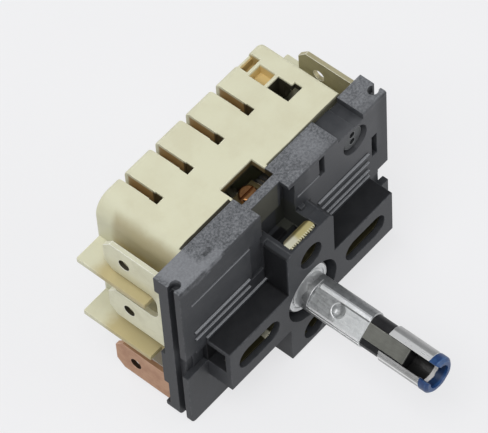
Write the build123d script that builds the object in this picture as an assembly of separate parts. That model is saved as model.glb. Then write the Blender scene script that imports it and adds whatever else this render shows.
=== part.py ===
from build123d import *
import os
from math import cos, radians, sin

# Infinite switch for a cooker element: a black front cover with a cross-shaped mounting boss, a cream
# rear housing, tab terminals at both sides and a spring-loaded control shaft.
# Millimetres. The origin is on the shaft's axis at the front face of the boss.
# X runs to the right, Y to the back of the switch and Z up.

# Case
cover_width = 46.0
case_top = 21.2
case_bottom = -12.8
boss_height = 4.5
cover_depth = 5.0
plate_thickness = 1.4
housing_inset = 4.4
housing_depth = 15.5
housing_wall = 1.5
roof_thickness = 4.6
roof_depth = 7.4
lower_corner_round = 1.0

# Cross-shaped boss
arm_reach = 18.5
arm_half_height = 4.6
block_half_width = 5.2
block_top = 14.3
block_bottom = -12.3
strap_front = 1.05
bore_radius = 5.4
slot_pitch = 24.2
slot_length = 9.0
slot_height = 4.2
hole_pitch = 18.4
hole_diameter = 4.6
end_pocket = 2.6
end_pocket_rim = 0.9

# Brass strap inside the boss
strap_thickness = 1.6
strap_half_width = 2.85
strap_arm_half_height = 3.3
strap_bore_gap = 0.5
strap_ring_width = 0.6
strap_reach = 17.0
strap_top_drop = 0.2
strap_foot_drop = 1.0
strap_slot_gap = 0.1
strap_hole_diameter = 4.3
lip_front = 0.5
lip_depth = 1.95
lip_middle = -0.8
lip_height = 1.9
lip_round = 0.8
tooth_count = 8
tooth_pitch = 0.6
tooth_radius = 0.2

# Front of the cover
side_notch_top = 4.1
side_notch_bottom = -0.8
side_notch_depth = 2.3
side_groove_width = 1.2
side_groove_depth = 1.1
side_groove_lead = 0.3
side_nick_radius = 0.84
side_nick_depth = 1.6
rib_width = 0.5
rib_height = 0.35
ledge_width = 0.8
left_rib_z = 8.9
left_rib_count = 2
left_rib_pitch = 1.7
right_rib_z = 10.5
right_rib_count = 3
right_rib_pitch = 2.0
rib_inner_gap = 1.7
rib_end_gap = 2.3
left_line_drop = 5.1
right_line_drop = 4.1
line_width = 0.4
line_depth = 0.3
step_left = -8.0
step_bottom = 8.1
step_depth = 0.5
recess_left = -5.3
recess_deep_left = -3.6
recess_step = 0.9
recess_right = 2.0
recess_floor = 10.6
recess_deep_rise = 1.2
recess_depth = 1.8
recess_wall = 0.7
recess_back_gap = 0.4
vent_width = 1.1
vent_top_drop = 0.7
middle_vent_x = 8.2
middle_vent_height = 4.1
right_vent_inset = 3.05
right_vent_bottom = 8.8
right_vent_top = 13.5
channel_left_of_screw = 3.7
channel_right_of_screw = 1.9
channel_depth = 0.9
channel_step_depth = 1.2

# Window in the top
window_left = -5.5
window_right = 1.4
window_front = 7.9
window_back = 12.0

# Rear housing
vent_slot_count = 4
vent_slot_inset = 6.3
vent_slot_pitch = 6.7
vent_slot_width = 1.3
vent_slot_length = 6.8
vent_slot_depth = 3.0
vent_hole_size = 1.5
chute_inset = 2.7
chute_width = 3.2
chute_ledge = 0.65
chute_hole_length = 4.0
chute_step_length = 1.4
chute_rib = 0.6
chute_pocket_length = 2.9
chute_pocket_depth = 2.0
chute_end_depth = 2.4
chute_end_wall = 0.8
chute_notch_depth = 1.0
chute_shaft_depth = 4.7
fin_overhang = 0.7
fin_thickness = 1.0
fin_upper_z = 12.9
fin_lower_z = -0.7
fin_notch = 1.6
fin_corner = 0.3
left_round = 3.4
right_round = 0.7
foot_round = 1.2
corner_round = 1.0

# Terminals
sheet = 0.8
tab_width = 6.35
tab_inset = 1.3
tab_end = 20.0
tab_corner = 1.4
tab_hole_diameter = 2.0
tab_hole_inset = 3.9
upper_tab_z = 17.1
middle_tab_z = 5.4
lower_tab_z = -8.9
ear_height = 3.4
web_depth = 0.9
web_reach = 3.0
web_gap_front = 0.7
web_gap_back = 4.0
web_gap_round = 1.6
supply_foot_height = 2.7

# Shaft
shaft_radius = 3.0
flange_radius = 4.4
flange_thickness = 0.9
flange_front = 0.9
flange_ring_radius = 3.6
sleeve_end = -11.1
clip_start = -14.6
clip_end = -22.1
tip_end = -23.8
flat_distance = 2.15
flat_direction = 126.0
flat_start = -1.2
dimple_y = -5.9
dimple_radius = 1.45
dimple_rise = 0.9
clip_wall = 0.6
clip_opening = 2.8
clip_groove_angle = 39.0
sleeve_groove_angle = 54.0
seam_groove_radius = 0.18
facet_turn = -42.0
facet_distance = 2.88
leaf_width = 2.5
leaf_thickness = 0.5
leaf_end = -18.7
cap_bore_radius = 1.95
cap_spigot = 0.5
cap_waist_radius = 2.2
cap_waist_depth = 0.5
core_radius = 1.9
spigot_length = 3.4
stem_radius = 2.55
stem_flat = 1.9
stem_end = 18.0
ring_thickness = 0.6
ring_radius = 3.8
ring_opening = 2.7
push_travel = 2.5

# Return spring
spring_radius = 3.08
spring_wire = 0.44
spring_turns = 6

# Cam
running_gap = 0.05
journal_radius = 4.4
journal_front = 4.7
bearing_back = 7.4
control_front = 8.4
control_back = 11.2
line_front = 11.6
line_back = 13.4
cam_hub_radius = 5.6
cam_hub_end = 16.6
cam_low_radius = 7.2
cam_lift = 1.6
cam_travel = 330.0
cam_overrun = 8.0
line_radius = 7.6
notch_radius = 6.1
notch_angle = 42.0
counterbore_radius = 3.6
counterbore_end = 10.2
tube_front = 13.9
tube_wall = 1.7

# Follower lever
pivot_inset = 3.5
pivot_z = 12.2
pin_radius = 0.9
eye_radius = 2.0
nose_radius = 1.2
nose_gap = 0.12
lever_plate = 1.4
lever_top_z = 17.6
lever_top_plate = 1.0
lever_right = 3.0
lever_top_right = 0.5
seat_length = 3.1
upright_plate = 1.4
bimetal_z = 15.2
bimetal_plate = 0.6
bimetal_end = 8.4
bead_radius = 0.7
bead_gap = 0.3
compensator_plate = 0.6
post_radius = 2.2
adjust_head_radius = 1.5
adjust_shank_radius = 0.75

# Heater on the bimetal
heater_start = 1.0
heater_turns = 8
heater_pitch = 0.7
heater_wire = 0.44
mica = 0.25

# Contacts
blade_plate = 0.3
blade_slot_gap = 0.8
blade_slot_height = 1.2
blade_slot_start = 3.2
blade_half_width = 1.7
tail_reach = 1.8
button_radius = 1.5
button_height = 1.0
contact_gap = 0.05
supply_flange = 3.9
cycle_blade_z = 12.9
cycle_contact_x = 7.2
cycle_contact_y = 15.8
output_arm_z = 15.4
output_arm_half_width = 1.8
leg_margin = 2.0
foot_rise = 0.9
foot_drop = 0.6
return_flange = 4.3
line_blade_z = -9.25
line_contact_x = -6.6
line_nose_gap = 0.12
line_nose_radius = 1.0
line_button_height = 0.6
line_button_radius = 1.3

# Fasteners
screw_inset = 7.3
screw_drop = 4.3
screw_head_radius = 2.3
screw_head_height = 1.2
screw_shank_radius = 1.25
screw_head_gap = 0.3
screw_sink = 1.8
screw_tip = 13.4
screw_post_margin = 2.0

# Values that follow from the sizes above
half_cover = cover_width / 2
half_housing = half_cover - housing_inset
plate_front = boss_height
plate_back = plate_front + plate_thickness
cover_back = plate_front + cover_depth
housing_back = cover_back + housing_depth
cavity_half = half_housing - housing_wall
cavity_top = case_top - housing_wall
cavity_bottom = case_bottom + housing_wall
cavity_back = housing_back - housing_wall
foot_front = cover_back - sheet
strap_back = strap_front + strap_thickness
lever_front = control_front - 0.2
lever_back = control_back + 0.2
lever_mid_y = (lever_front + lever_back) / 2
nose_z = cam_low_radius + nose_radius + nose_gap
pivot_x = pivot_inset - cavity_half
upright_left = pivot_x - upright_plate / 2 - 0.1
upright_right = upright_left + upright_plate
adjust_x = (window_left + window_right) / 2
cycle_hinge_x = cavity_half - supply_flange
line_hinge_x = cavity_half - return_flange
screw_x = half_cover - screw_inset
screw_z = case_top - screw_drop
tab_plane = half_cover - tab_inset
fin_reach = half_cover + fin_overhang
strap_bore_radius = bore_radius + strap_bore_gap
strap_top = block_top - strap_top_drop
lip_back = lip_front + lip_depth
lip_low = strap_top - lip_height
recess_back = window_front - recess_back_gap - recess_wall
chute_right = half_housing - chute_inset
chute_left = chute_right - chute_width
chute_end = housing_back - chute_end_wall
pocket_back = housing_back - chute_end_wall - 1.5 - chute_rib
pocket_front = pocket_back - chute_pocket_length
chute_hole_back = pocket_front - chute_rib
chute_hole_front = chute_hole_back - chute_hole_length


def span(x0, x1, z0, z1):
    """A rectangle between two corners."""
    return Pos((x0 + x1) / 2, (z0 + z1) / 2) * Rectangle(x1 - x0, z1 - z0)


def along_y(sketch, y0, y1):
    """Extrudes a sketch drawn in x and z between two depths."""
    return extrude(Plane.XZ.offset(-y1) * sketch, y1 - y0)


def along_x(sketch, x0, x1):
    """Extrudes a sketch drawn in y and z between two sides."""
    return extrude(Plane.YZ.offset(x0) * sketch, x1 - x0)


def along_z(sketch, z0, z1):
    """Extrudes a sketch drawn in x and y between two heights."""
    return extrude(Plane.XY.offset(z0) * sketch, z1 - z0)


def rod(radius, y0, y1, x=0.0, z=0.0):
    """A round bar along Y."""
    return along_y(Pos(x, z) * Circle(radius), y0, y1)


def block(x0, x1, y0, y1, z0, z1):
    """A rectangular bar between two corners."""
    return along_y(span(x0, x1, z0, z1), y0, y1)


def mirrored(shape):
    """The same shape on the other side of the shaft."""
    return mirror(shape, about=Plane.YZ)


def solid(shape):
    """The one solid of a result."""
    solids = shape.solids()
    if len(solids) != 1:
        raise ValueError(f"expected one solid, got {len(solids)}")
    return solids[0]


def cross_sketch():
    """Outline of the mounting boss: two arms and a taller centre block with cut corners."""
    arms = span(-arm_reach, arm_reach, -arm_half_height, arm_half_height)
    centre = span(-block_half_width, block_half_width, block_bottom, block_top)
    centre = chamfer(centre.vertices().sort_by(Axis.Y)[-2:], 0.9)
    return arms + centre


def slot_sketch(length, height):
    """The two fixing slots beside the shaft."""
    slot = SlotOverall(length, height)
    return Pos(-slot_pitch / 2, 0) * slot + Pos(slot_pitch / 2, 0) * slot


def hole_sketch(diameter):
    """The two fixing holes above and below the shaft."""
    hole = Circle(diameter / 2)
    return Pos(0, hole_pitch / 2) * hole + Pos(0, -hole_pitch / 2) * hole


def strap_outline():
    """Outline of the brass strap: a ring round the bore with four arms."""
    ring = Circle(strap_bore_radius + strap_ring_width)
    flat = span(-strap_reach, strap_reach, -strap_arm_half_height, strap_arm_half_height)
    upright = span(-strap_half_width, strap_half_width, block_bottom + strap_foot_drop, lip_low)
    return ring + flat + upright - Circle(strap_bore_radius)


def strap_lip():
    """Thick upper end of the strap, set forward and to the left and rounded at its sides."""
    lip = block(lip_middle - strap_half_width, lip_middle + strap_half_width,
                lip_front, lip_back, lip_low, strap_top)
    return fillet(lip.edges().filter_by(Axis.Z), lip_round)


def side_groove():
    """Upright groove in the left face of the cover, round-ended through the top."""
    width = side_groove_width
    middle = plate_back - side_groove_lead + width / 2
    groove = block(-half_cover, -half_cover + side_groove_depth, middle - width / 2, middle + width / 2,
                   case_bottom, case_top)
    notch = along_z(Circle(side_nick_radius), case_top - side_nick_depth, case_top)
    return groove + Pos(-half_cover + side_groove_depth, middle, 0) * notch


def foot_notches():
    """Shallow steps in the rear face of the left rim, one for each terminal foot."""
    upper = block(-half_cover, -cavity_half, foot_front, cover_back,
                  middle_tab_z - tab_width / 2, case_top - ear_height)
    lower = block(-half_cover, -cavity_half, foot_front, cover_back,
                  lower_tab_z - tab_width / 2 + foot_rise, lower_tab_z + tab_width / 2)
    return upper, lower


def plate_rib(left, right, height, width):
    """One fine rib across the plate."""
    return block(left, right, plate_front - rib_height, plate_front, height - width / 2, height + width / 2)


def raised_ribs():
    """Fine ribs across the plate above the arms."""
    left_end = -half_cover + rib_end_gap
    right_end = block_half_width + rib_inner_gap
    ribs = []
    for number in range(left_rib_count):
        height = left_rib_z - number * left_rib_pitch
        ribs.append(plate_rib(left_end, -right_end - rib_inner_gap, height, rib_width))
    for number in range(right_rib_count):
        ribs.append(plate_rib(right_end, arm_reach, right_rib_z - number * right_rib_pitch, rib_width))
    ledge_z = arm_half_height + ledge_width / 2
    ribs.append(plate_rib(-arm_reach, -block_half_width, ledge_z, ledge_width))
    ribs.append(plate_rib(block_half_width, arm_reach, ledge_z, ledge_width))
    return ribs


def vent(middle, bottom, top):
    """One upright slot through the plate."""
    return block(middle - vent_width / 2, middle + vent_width / 2, plate_front, plate_back, bottom, top)


def plate_line(left, right, height):
    """Shallow line across the plate."""
    low = height - line_width / 2
    return block(left, right, plate_front, plate_front + line_depth, low, low + line_width)


def screw_post(y0, y1):
    """Corner post round the cover screw, half in the cover and half in the housing."""
    return block(screw_x - screw_post_margin, cavity_half, y0, y1, screw_z - screw_post_margin, cavity_top)


def front_cover():
    """Black moulded cover: plate, rim, cross boss, recesses and the bearing for the cam."""
    rim = along_y(span(-half_cover, half_cover, case_bottom, case_top), plate_front, cover_back)
    rim = fillet(rim.edges().filter_by(Axis.Y).group_by(Axis.Z)[0], lower_corner_round)
    body = rim - block(-cavity_half, cavity_half, plate_back, cover_back, cavity_bottom, cavity_top)
    body += along_y(cross_sketch(), 0, plate_front)
    body += rod(cam_hub_radius + 1.0, plate_back, bearing_back)
    body += rod(post_radius, plate_back, lever_front - 0.3, pivot_x, pivot_z)
    body += screw_post(plate_back, cover_back)
    body += block(recess_left - recess_wall, recess_right + recess_wall,
                  plate_back, recess_back + recess_wall, recess_floor - recess_wall, cavity_top)
    for rib in raised_ribs():
        body += rib
    body = fillet(body.edges().filter_by(Axis.X).filter_by(
        lambda e: abs(e.center().Y - plate_front) < 0.01 and e.center().Z > case_top - 0.01), 0.4)

    # Shaft bore and cam bearing
    body -= rod(bore_radius, 0, journal_front - 0.1)
    body -= rod(journal_radius + running_gap, journal_front - 0.1, bearing_back)
    body -= rod(pin_radius, plate_back + 0.4, lever_front - 0.3, pivot_x, pivot_z)

    # Fixing slots, fixing holes and the pocket that the strap fills
    body -= along_y(slot_sketch(slot_length, slot_height), 0, plate_back - 0.9)
    body -= along_y(hole_sketch(hole_diameter), 0, plate_back - 0.9)
    body -= along_y(strap_outline(), strap_front, strap_back)
    body -= block(lip_middle - strap_half_width, lip_middle + strap_half_width, lip_front, lip_back,
                  lip_low, block_top)
    for side in (1, -1):
        pocket = block(-arm_reach, -arm_reach + end_pocket, strap_front, plate_front,
                       side_notch_bottom, arm_half_height - end_pocket_rim)
        notch = block(-half_cover, -half_cover + side_notch_depth, plate_front, plate_back - 0.3,
                      side_notch_bottom, side_notch_top)
        inner_notch = block(-half_cover + side_notch_depth, -arm_reach, plate_front, plate_back - 0.5,
                            side_notch_bottom, side_notch_top - 0.6)
        groove = side_groove()
        for cut in (pocket, notch, inner_notch, groove, *foot_notches()):
            body -= cut if side == 1 else mirrored(cut)

    # Recess above the boss, which runs on behind the strap's lip, with a lower step and a peg at its right
    body -= block(recess_left, recess_step, plate_front, plate_front + recess_depth, block_top, case_top)
    body -= block(recess_deep_left, recess_right, plate_front, recess_back,
                  recess_floor, block_top + recess_deep_rise)
    body -= block(step_left, recess_left, plate_front, plate_front + step_depth,
                  step_bottom, case_top - left_line_drop)
    body -= block(recess_step, recess_right, plate_front, recess_back,
                  recess_floor, case_top - vent_top_drop)
    body -= block(recess_deep_left, recess_right, lip_back, plate_front, recess_floor, block_top)
    body -= block(recess_right, block_half_width, lip_back, plate_front, strap_top, block_top)
    body += block(recess_right + rib_width, recess_right + 3 * rib_width,
                  plate_front - 2 * rib_height, plate_front, strap_top, block_top + rib_width)

    # Upright vents and the line below the top edge
    vent_top = case_top - vent_top_drop
    body -= vent(middle_vent_x, vent_top - middle_vent_height, vent_top)
    body -= vent(half_cover - right_vent_inset, right_vent_bottom, right_vent_top)
    body -= plate_line(-half_cover + rib_end_gap, recess_left - 2 * recess_wall, case_top - left_line_drop)
    body -= plate_line(recess_right + recess_wall, middle_vent_x - vent_width / 2,
                       case_top - right_line_drop)

    # Channel across the top over the cover screw, and the screw's own seat
    channel_right = screw_x + channel_right_of_screw
    body -= block(screw_x - channel_left_of_screw, channel_right,
                  plate_front, cover_back, case_top - channel_depth, case_top)
    body -= block(screw_x, channel_right, plate_front, cover_back, case_top - channel_step_depth, case_top)
    body -= rod(screw_head_radius + screw_head_gap, plate_front, plate_front + screw_sink, screw_x, screw_z)
    body -= rod(screw_shank_radius, plate_front + screw_sink, cover_back, screw_x, screw_z)

    # Window in the top, shared with the rear housing
    body -= block(window_left, window_right, window_front, cover_back, cavity_top, case_top)
    return solid(body)


def vent_slots():
    """Slots open at the rear top edge of the housing, each with a deeper square end."""
    cuts = []
    for number in range(vent_slot_count):
        middle = vent_slot_inset - half_housing + number * vent_slot_pitch
        front = housing_back - vent_slot_length
        cuts.append(block(middle - vent_slot_width / 2, middle + vent_slot_width / 2, front, housing_back,
                          case_top - vent_slot_depth, case_top))
        half = vent_hole_size / 2
        cuts.append(block(middle - half, middle + half, front - half, front + half,
                          case_top - roof_thickness, case_top))
    return cuts


def chute():
    """Stepped opening at the right of the top: an end pocket with a low wall, a pocket and a hole."""
    end_pocket_cut = block(chute_left + chute_rib / 2, chute_right, pocket_back + chute_rib, chute_end,
                           case_top - chute_end_depth, case_top)
    low_wall = block(chute_left + chute_rib / 2, chute_right, chute_end, housing_back,
                     case_top - chute_notch_depth, case_top)
    inner_right = chute_right - chute_ledge
    pocket = block(chute_left, inner_right, pocket_front, pocket_back,
                   case_top - chute_pocket_depth, case_top)
    step_back = chute_hole_front + chute_step_length
    hole_floor = case_top - chute_shaft_depth
    hole = block(chute_left, inner_right, chute_hole_front, chute_hole_back, hole_floor, case_top)
    step = block(chute_left, chute_right, chute_hole_front, step_back, hole_floor, case_top)
    return end_pocket_cut, low_wall, pocket, hole, step


def rear_housing():
    """Cream moulded case with barrier fins, vent slots, the chute and inner posts."""
    outline = span(-half_housing, half_housing, case_bottom, case_top)
    outline = fillet(outline.vertices().sort_by(Axis.Y)[:2], foot_round)
    outline = fillet(outline.vertices().sort_by(Axis.Y)[-2:].sort_by(Axis.X)[0], left_round)
    outline = fillet(outline.vertices().sort_by(Axis.X)[-1:].sort_by(Axis.Y)[-1], right_round)
    body = along_y(outline, cover_back, housing_back)
    body = fillet(body.faces().sort_by(Axis.Y)[-1].edges(), corner_round)
    cavity = block(-cavity_half, cavity_half, cover_back, cavity_back, cavity_bottom, cavity_top)
    top_edges = cavity.edges().filter_by(Axis.Y).group_by(Axis.Z)[-1]
    cavity = fillet(top_edges.sort_by(Axis.X)[0], left_round - housing_wall)
    roof = block(-cavity_half, cavity_half, housing_back - roof_depth, cavity_back,
                 case_top - roof_thickness, cavity_top)
    body -= cavity - roof
    for height in (fin_upper_z, fin_lower_z):
        fin = block(-fin_reach, -half_housing + 0.5, cover_back, housing_back - 0.7,
                    height - fin_thickness / 2, height + fin_thickness / 2)
        fin = fillet(fin.edges().filter_by(Axis.Z).group_by(Axis.X)[0].sort_by(Axis.Y)[-1], fin_corner)
        fin -= block(-fin_reach, -tab_plane + sheet / 2 + 0.1, cover_back, cover_back + fin_notch,
                     height - fin_thickness, height + fin_thickness)
        body += fin
        body += mirrored(fin)

    # Rear bearing of the cam, the rear post of the follower pin and the post for the cover screw
    tube = Circle(journal_radius + running_gap + tube_wall) - Circle(journal_radius + running_gap)
    body += along_y(tube, tube_front, cavity_back)
    body += rod(post_radius, lever_back + 0.3, cavity_back, pivot_x, pivot_z)
    body -= rod(pin_radius, lever_back + 0.3, lever_back + 2.3, pivot_x, pivot_z)
    body += screw_post(cover_back, chute_hole_front - 0.3)
    body -= rod(screw_shank_radius, cover_back, screw_tip + 0.2, screw_x, screw_z)

    for cut in (*vent_slots(), *chute()):
        body -= cut
    body -= block(window_left, window_right, cover_back, window_back, cavity_top, case_top)
    return solid(body)


def mounting_strap():
    """Brass strap moulded into the boss, with the sheared teeth on its top edge."""
    slots = slot_sketch(slot_length - 2 * strap_slot_gap, slot_height - 2 * strap_slot_gap)
    plate = along_y(strap_outline() - slots - hole_sketch(strap_hole_diameter), strap_front, strap_back)
    plate += strap_lip()
    end_cut = block(arm_reach - end_pocket, arm_reach, strap_front, strap_back,
                    side_notch_bottom, arm_half_height - end_pocket_rim)
    plate -= end_cut + mirrored(end_cut)
    first = -tooth_pitch * (tooth_count - 1) / 2
    for number in range(tooth_count):
        middle = first + number * tooth_pitch
        tooth = along_z(Circle(tooth_radius), strap_top - lip_height / 2, strap_top)
        plate -= Pos(lip_middle + middle, lip_front, 0) * tooth
    return solid(plate)


def tab_sketch(height):
    """Side outline of one quick-connect tab with its cut corners, drawn in y and z."""
    tab = span(cover_back, tab_end, height - tab_width / 2, height + tab_width / 2)
    tab = chamfer(tab.vertices().sort_by(Axis.X)[-2:], tab_corner)
    return tab - Pos(tab_end - tab_hole_inset, height) * Circle(tab_hole_diameter / 2)


def terminal(tabs, foot_z, leg_back, leg_z):
    """Folded terminal on the left: tabs and web outside, a foot through the joint and a leg on the wall."""
    outer = -tab_plane - sheet / 2
    low = min(tabs) - tab_width / 2
    high = max(tabs) + tab_width / 2
    profile = span(cover_back, cover_back + web_depth, low, high)
    for height in tabs:
        profile += tab_sketch(height)
    if len(tabs) == 2:
        gap = span(cover_back + web_gap_front, cover_back + web_gap_back,
                   min(tabs) + tab_width / 2, max(tabs) - tab_width / 2)
        gap = fillet(gap.vertices().sort_by(Axis.X)[:2], web_gap_round)
        profile = span(cover_back, cover_back + web_reach, low, high) + profile - gap
    body = along_x(profile, outer, outer + sheet)
    foot_low, foot_high = foot_z
    body += block(outer, -cavity_half + sheet, foot_front, cover_back, foot_low, foot_high)
    leg_low, leg_high = leg_z
    body += block(-cavity_half, -cavity_half + sheet, foot_front, leg_back, leg_low, leg_high)
    return body


def twin_terminal():
    """Tinned output terminal with two tabs, its inner arm reaches over to the main contact."""
    foot = (middle_tab_z + 1.0, case_top - ear_height)
    leg = (foot[0] + leg_margin, output_arm_z + sheet)
    body = terminal((upper_tab_z, middle_tab_z), foot, cycle_contact_y + leg_margin, leg)
    body += block(-cavity_half, cycle_contact_x + output_arm_half_width,
                  cycle_contact_y - output_arm_half_width, cycle_contact_y + output_arm_half_width,
                  output_arm_z, output_arm_z + sheet)
    return solid(body)


def load_terminal():
    """Copper terminal at the lower left, its arm lies on the housing's floor under the line contact."""
    foot = (lower_tab_z - tab_width / 2 + foot_rise, lower_tab_z + tab_width / 2 - foot_drop)
    body = terminal((lower_tab_z,), foot, line_back + 1.6, (cavity_bottom, foot[1]))
    body += block(-cavity_half, line_contact_x + 1.6, line_front - 0.2, line_back + 1.6,
                  cavity_bottom, cavity_bottom + sheet)
    return solid(body)


def supply_terminal():
    """Tinned terminal at the upper right, with the flange that carries the cycling blade."""
    flange_top = cycle_blade_z - contact_gap
    foot = (flange_top - sheet, flange_top - sheet + supply_foot_height)
    body = terminal((upper_tab_z,), foot, cycle_contact_y + leg_margin, foot)
    body += block(-cavity_half, -cycle_hinge_x, cycle_contact_y - output_arm_half_width,
                  cycle_contact_y + leg_margin, flange_top - sheet, flange_top)
    body += along_x(span(cover_back, cover_back + web_depth, foot[0], upper_tab_z), -tab_plane - sheet / 2,
                    -tab_plane + sheet / 2)
    return solid(mirrored(body))


def return_terminal():
    """Tinned terminal at the lower right, with the flange that carries the line blade."""
    flange_top = line_blade_z - contact_gap
    foot = (lower_tab_z - tab_width / 2 + foot_rise, lower_tab_z + tab_width / 2 - foot_drop)
    body = terminal((lower_tab_z,), foot, line_back + 1.8, (flange_top - sheet, foot[1]))
    body += block(-cavity_half, -line_hinge_x, line_front - 0.2, line_back + 1.8,
                  flange_top - sheet, flange_top)
    return solid(mirrored(body))


def cover_screw():
    """Cover screw with a round head and a cross slot that ends in two dimples."""
    head_front = plate_front + screw_sink - screw_head_height
    head = rod(screw_head_radius, head_front, plate_front + screw_sink, screw_x, screw_z)
    head = chamfer(head.faces().sort_by(Axis.Y)[0].edges(), 0.3)
    body = head + rod(screw_shank_radius, plate_front + screw_sink, screw_tip, screw_x, screw_z)
    for step in (-0.75, 0.75):
        body -= rod(0.55, head_front, head_front + 0.7, screw_x, screw_z + step)
    return solid(body)


def turned(shape):
    """Turns a piece drawn with its flat on top to the side that the real flat faces."""
    return Rot(0, 90 - flat_direction, 0) * shape


def stem_sketch(gap):
    """Section of the stem with its two flats."""
    return Circle(stem_radius + gap) & Rectangle(2 * (stem_flat + gap), 4 * stem_radius)


def seam_groove(angle, y0, y1):
    """Fine groove along the shaft, at an angle from the middle of its flat."""
    return along_y(Rot(0, 0, angle) * Pos(0, shaft_radius) * Circle(seam_groove_radius), y0, y1)


def facet(y0, y1):
    """What the narrow second flat beside the main one cuts away."""
    cut = Rot(0, 0, facet_turn) * span(-shaft_radius, shaft_radius, facet_distance, shaft_radius + 1)
    return along_y(cut, y0, y1)


def shaft_sleeve():
    """Die-cast shaft: flange, D-shaped sleeve with a dimple, and the two-flat stem into the cam."""
    body = rod(shaft_radius, sleeve_end, flange_front)
    body = chamfer(body.faces().sort_by(Axis.Y)[0].edges(), 0.12)
    body -= seam_groove(sleeve_groove_angle, sleeve_end, flat_start)
    body -= facet(sleeve_end, flat_start)
    body -= block(-shaft_radius, shaft_radius, sleeve_end, flat_start, flat_distance, shaft_radius + 1)
    body -= Pos(0, dimple_y, flat_distance + dimple_rise) * Sphere(dimple_radius)
    body -= rod(core_radius, sleeve_end, sleeve_end + spigot_length)
    flange = rod(flange_radius, flange_front, flange_front + flange_thickness)
    flange = chamfer(flange.faces().sort_by(Axis.Y)[0].edges(), 0.25)
    ring = Circle(flange_ring_radius) - Circle(flange_ring_radius - 0.3)
    flange -= along_y(ring, flange_front, flange_front + 0.2)
    body += flange
    body += along_y(stem_sketch(0), flange_front + flange_thickness, stem_end)
    groove = Circle(stem_radius + 1) - Circle(stem_flat)
    ring_front = cam_hub_end + 0.1
    body -= along_y(groove, ring_front, ring_front + ring_thickness)
    return solid(turned(body))


def shaft_core():
    """Black core: a spigot in the sleeve, a collar in the gap, a plug in the clip and the leaf's seat."""
    body = rod(core_radius, clip_start, sleeve_end + spigot_length)
    body += rod(shaft_radius - 0.25, clip_start, sleeve_end)
    body += rod(shaft_radius - clip_wall, leaf_end + 0.5, clip_start)
    seat = flat_distance - leaf_thickness
    body -= block(-shaft_radius, shaft_radius, leaf_end, sleeve_end, seat, shaft_radius)
    return solid(turned(body))


def shaft_clip():
    """C-section clip with rolled lips along its open side."""
    section = Circle(shaft_radius) - Circle(shaft_radius - clip_wall)
    section -= span(-clip_opening / 2, clip_opening / 2, 0, shaft_radius + 1)
    body = along_y(section, clip_end, clip_start)
    body -= seam_groove(clip_groove_angle, clip_end, clip_start)
    body -= facet(clip_end, clip_start)
    return solid(turned(body))


def shaft_leaf():
    """Leaf spring on the core's seat, with a turned-up end."""
    seat = flat_distance - leaf_thickness
    side = Polyline((sleeve_end, seat), (leaf_end + 1.2, seat), (leaf_end, seat + 0.25),
                    (leaf_end, seat + 0.25 + leaf_thickness), (leaf_end + 1.2, flat_distance),
                    (sleeve_end, flat_distance), close=True)
    body = along_x(make_face(side), -leaf_width / 2, leaf_width / 2)
    return solid(turned(body))


def shaft_tip_cap():
    """Blue end piece: a C-shaped rim on a spigot in the clip, waisted on its closed side."""
    body = rod(shaft_radius + 0.05, tip_end, clip_end)
    body = chamfer(body.faces().sort_by(Axis.Y)[0].edges(), 0.45)
    spigot_end = clip_end + cap_spigot
    body += rod(shaft_radius - clip_wall, clip_end, spigot_end)
    body -= rod(cap_bore_radius, tip_end, spigot_end)
    body -= block(-clip_opening / 2, clip_opening / 2, tip_end, spigot_end, 0, shaft_radius + 1)
    waist_z = cap_waist_depth - shaft_radius - cap_waist_radius
    body -= rod(cap_waist_radius, tip_end, clip_end, 0, waist_z)
    return solid(turned(body))


def retaining_ring():
    """Open ring in the stem's groove behind the cam."""
    ring = Circle(ring_radius) - Circle(stem_flat)
    ring -= span(-ring_opening / 2, ring_opening / 2, -ring_radius - 1, 0)
    front = cam_hub_end + 0.1
    return solid(turned(along_y(ring, front, front + ring_thickness)))


def return_spring():
    """Coil spring round the stem, between the flange and the cam."""
    start = flange_front + flange_thickness + spring_wire / 2 + 0.02
    end = counterbore_end - spring_wire / 2 - 0.02
    path = Helix(pitch=(end - start) / spring_turns, height=end - start, radius=spring_radius)
    wire = Plane(origin=path @ 0, z_dir=path % 0) * Circle(spring_wire / 2)
    coil = sweep(wire, path=path, is_frenet=True)
    return solid(Pos(0, end, 0) * Rot(90, 0, 0) * coil)


def cam_profile():
    """Spiral outline of the control cam: the radius grows evenly with the turn, then drops back."""
    steps = 48
    points = []
    for number in range(steps + 1):
        turn = -cam_overrun + (cam_travel + 2 * cam_overrun) * number / steps
        radius = cam_low_radius + cam_lift * turn / cam_travel
        angle = radians(90 + turn)
        points.append((radius * cos(angle), radius * sin(angle)))
    spiral = Spline(*points)
    back = Line(points[-1], points[0])
    return make_face(spiral + back)


def cam():
    """Moulded cam: front journal, spiral control disc, notched line disc and rear journal."""
    body = rod(journal_radius, journal_front, control_front)
    body += rod(cam_hub_radius, bearing_back + 0.1, line_back)
    body += along_y(cam_profile(), control_front, control_back)
    line_disc = Circle(line_radius)
    reach = line_radius + 1
    half = radians(notch_angle / 2)
    wedge = make_face(Polyline((0, 0), (-reach * sin(half), -reach * cos(half)), (0, -reach * 1.1),
                               (reach * sin(half), -reach * cos(half)), close=True))
    line_disc -= wedge - Circle(notch_radius)
    body += along_y(line_disc, line_front, line_back)
    body += rod(journal_radius, line_back, cam_hub_end)
    body -= turned(along_y(stem_sketch(running_gap), journal_front, cam_hub_end))
    body -= rod(counterbore_radius, journal_front, counterbore_end)
    return solid(body)


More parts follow.
